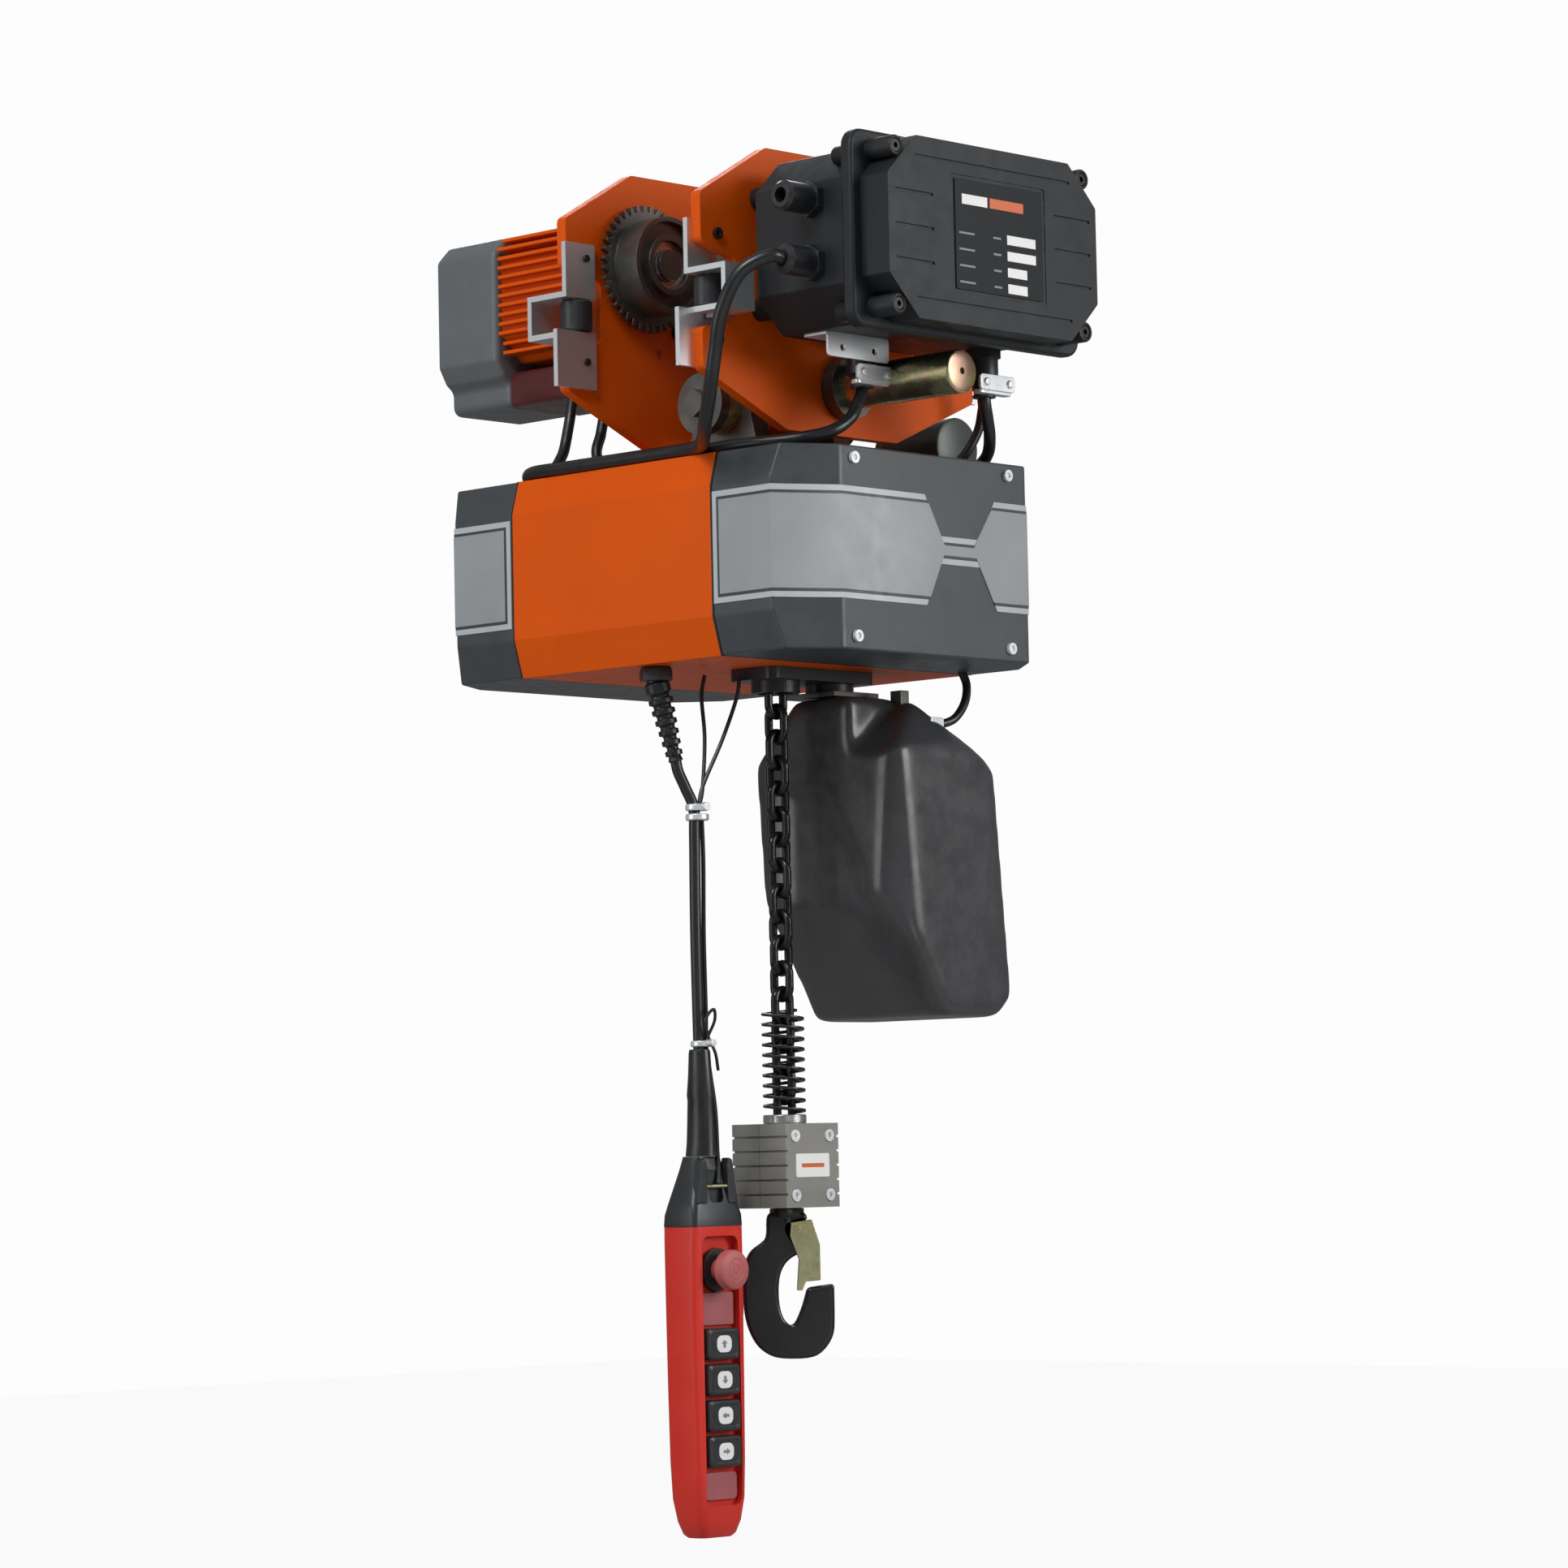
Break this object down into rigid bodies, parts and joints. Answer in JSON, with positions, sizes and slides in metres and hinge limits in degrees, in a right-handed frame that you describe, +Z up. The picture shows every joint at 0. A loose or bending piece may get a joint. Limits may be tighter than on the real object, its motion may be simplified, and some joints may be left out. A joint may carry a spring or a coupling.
{
  "type": "chain hoist",
  "caption": "Electric chain hoist on a motor-driven beam trolley, with junction box, chain container, swivel hook with latch, and a push-button pendant on its cable.",
  "frame": {"origin": "middle of the trolley's cross shaft, under the middle of the beam", "axes": "+X along the beam, +Y across the beam towards the drive motor, +Z up"},
  "size_m": [0.3748, 0.588, 1.109],
  "materials": {
    "orange_paint": "satin powder coat",
    "yellow_zinc": "yellow-passivated zinc",
    "dark_steel": "oiled dark steel",
    "black_screws": "black oxide",
    "bright_steel": "bright ground steel",
    "bright_zinc": "bright zinc plate",
    "dark_red_paint": "satin paint",
    "grey_casting": "satin grey paint",
    "slate_casting": "satin slate paint on a casting",
    "black_plastic": "fine texture",
    "black_rubber": "satin",
    "roller_plastic": "smooth",
    "cast_frame": "machined casting",
    "blackened_steel": "blackened and oiled",
    "container_plastic": "blow-moulded satin",
    "grey_block": "cast, lightly blasted",
    "pendant_grey": "fine texture",
    "pendant_red": "satin moulded",
    "stop_red": "faded satin",
    "button_black": "satin"
  },
  "bodies": {
    "trolley": {"near_side_plate": "orange_paint", "far_side_plate": "orange_paint", "cross_shaft": "yellow_zinc", "shaft_collars": "dark_steel", "plate_screws": "black_screws", "wheel_axles": "dark_steel", "wheel_bearings": "bright_steel", "roller_brackets": "bright_zinc", "roller_pins": "bright_steel", "drive_gearbox": "dark_red_paint", "drive_motor_housing": "orange_paint", "drive_motor_cap": "grey_casting", "junction_box": "black_plastic", "box_lid": "black_plastic", "lid_gasket": "black_rubber", "lid_screws": "black_screws", "cable_glands": "black_plastic", "gland_bracket": "bright_zinc", "box_cable": "black_rubber"},
    "near_left_wheel": {"near_left_wheel": "dark_steel"},
    "near_right_wheel": {"near_right_wheel": "dark_steel"},
    "far_left_wheel": {"far_left_wheel": "dark_steel"},
    "far_right_wheel": {"far_right_wheel": "dark_steel"},
    "near_left_roller": {"near_left_roller": "roller_plastic"},
    "near_right_roller": {"near_right_roller": "roller_plastic"},
    "far_left_roller": {"far_left_roller": "roller_plastic"},
    "far_right_roller": {"far_right_roller": "roller_plastic"},
    "drive_pinion": {"drive_pinion": "bright_steel"},
    "suspension": {"suspension_block": "yellow_zinc", "bar_end_caps": "dark_steel"},
    "hoist": {"suspension_lugs": "dark_steel", "body_housing": "orange_paint", "near_end_cap": "slate_casting", "far_end_cap": "slate_casting", "cap_screws": "bright_steel", "gear_frame": "cast_frame", "motor_stator": "cast_frame", "chain_guide": "black_plastic", "wheel_chain": "blackened_steel", "top_canister": "black_plastic", "chain_container": "container_plastic", "cord_grip": "black_rubber"},
    "load_wheel": {"load_wheel": "bright_steel", "final_gear": "bright_steel"},
    "motor_rotor": {"motor_rotor": "bright_steel"},
    "hook_block": {"load_chain": "blackened_steel", "buffer_spring": "blackened_steel", "hook_block": "grey_block", "block_screws": "bright_steel"},
    "hook": {"hook": "blackened_steel"},
    "latch": {"hook_latch": "yellow_zinc"},
    "pendant": {"pendant_cable": "black_rubber", "pendant_boot": "black_rubber", "pendant_cap": "pendant_grey", "pendant_housing": "pendant_red"},
    "stop_button": {"stop_button": "stop_red"},
    "up_button": {"up_button": "button_black"},
    "down_button": {"down_button": "button_black"},
    "left_button": {"left_button": "button_black"},
    "right_button": {"right_button": "button_black"}
  },
  "joints": [
    {"name": "near_left_wheel_spin", "type": "hinge", "parent": "trolley", "child": "near_left_wheel", "pos_m": [-0.075, -0.048, 0.11], "axis": [0, 1, 0], "continuous": true},
    {"name": "near_left_roller_spin", "type": "hinge", "parent": "trolley", "child": "near_left_roller", "pos_m": [-0.145, -0.076, 0.065], "axis": [0, 0, 1], "continuous": true},
    {"name": "near_right_wheel_spin", "type": "hinge", "parent": "trolley", "child": "near_right_wheel", "pos_m": [0.075, -0.048, 0.11], "axis": [0, 1, 0], "continuous": true},
    {"name": "near_right_roller_spin", "type": "hinge", "parent": "trolley", "child": "near_right_roller", "pos_m": [0.145, -0.076, 0.065], "axis": [0, 0, 1], "continuous": true},
    {"name": "far_left_wheel_spin", "type": "hinge", "parent": "trolley", "child": "far_left_wheel", "pos_m": [-0.075, 0.048, 0.11], "axis": [0, 1, 0], "continuous": true},
    {"name": "far_left_roller_spin", "type": "hinge", "parent": "trolley", "child": "far_left_roller", "pos_m": [-0.145, 0.076, 0.065], "axis": [0, 0, 1], "continuous": true},
    {"name": "far_right_wheel_spin", "type": "hinge", "parent": "trolley", "child": "far_right_wheel", "pos_m": [0.075, 0.048, 0.11], "axis": [0, 1, 0], "continuous": true},
    {"name": "far_right_roller_spin", "type": "hinge", "parent": "trolley", "child": "far_right_roller", "pos_m": [0.145, 0.076, 0.065], "axis": [0, 0, 1], "continuous": true},
    {"name": "pinion_spin", "type": "hinge", "parent": "trolley", "child": "drive_pinion", "pos_m": [0, 0.09, 0.11], "axis": [0, 1, 0], "continuous": true},
    {"name": "swing_along_beam", "type": "hinge", "parent": "trolley", "child": "suspension", "pos_m": [0, 0, 0], "axis": [0, 1, 0], "range_deg": [-5, 5], "stiffness_Nm_per_rad": 200, "springref_deg": -4.34},
    {"name": "swing_across_beam", "type": "hinge", "parent": "suspension", "child": "hoist", "pos_m": [0, 0, -0.009], "axis": [1, 0, 0], "range_deg": [-4, 4], "stiffness_Nm_per_rad": 200, "springref_deg": 5.59},
    {"name": "hook_lift", "type": "slide", "parent": "hoist", "child": "hook_block", "axis": [0, 0, 1], "range_m": [0, 0.15], "deforming": ["load_chain"]},
    {"name": "load_wheel_spin", "type": "hinge", "parent": "hoist", "child": "load_wheel", "pos_m": [0.03232, 0, -0.14], "axis": [0, 1, 0], "range_deg": [-5, 261]},
    {"name": "rotor_spin", "type": "hinge", "parent": "hoist", "child": "motor_rotor", "pos_m": [0.10232, 0.1, -0.14], "axis": [0, 1, 0], "range_deg": [-1041, 20]},
    {"name": "hook_swivel", "type": "hinge", "parent": "hook_block", "child": "hook", "pos_m": [0, 0, -0.66], "axis": [0, 0, 1], "continuous": true},
    {"name": "latch_open", "type": "hinge", "parent": "hook", "child": "latch", "pos_m": [0.00566, -0.00566, -0.677], "axis": [0.7071, 0.7071, 0], "range_deg": [0, 30]},
    {"name": "pendant_swing", "type": "hinge", "parent": "hoist", "child": "pendant", "pos_m": [-0.086, 0.031, -0.307], "axis": [1, 0, 0], "range_deg": [-12, 12], "stiffness_Nm_per_rad": 0.5, "springref_deg": -4.01},
    {"name": "stop_press", "type": "slide", "parent": "pendant", "child": "stop_button", "axis": [0, 1, 0], "range_m": [0, 0.004]},
    {"name": "up_press", "type": "slide", "parent": "pendant", "child": "up_button", "axis": [0, 1, 0], "range_m": [0, 0.003]},
    {"name": "down_press", "type": "slide", "parent": "pendant", "child": "down_button", "axis": [0, 1, 0], "range_m": [0, 0.003]},
    {"name": "left_press", "type": "slide", "parent": "pendant", "child": "left_button", "axis": [0, 1, 0], "range_m": [0, 0.003]},
    {"name": "right_press", "type": "slide", "parent": "pendant", "child": "right_button", "axis": [0, 1, 0], "range_m": [0, 0.003]}
  ],
  "couplings": [
    {"joint": "far_right_wheel_spin", "follows": "far_left_wheel_spin", "ratio": 1},
    {"joint": "pinion_spin", "follows": "far_left_wheel_spin", "ratio": -2},
    {"joint": "load_wheel_spin", "follows": "hook_lift", "rad_per_m": 29.92},
    {"joint": "rotor_spin", "follows": "hook_lift", "rad_per_m": -119.68}
  ]
}
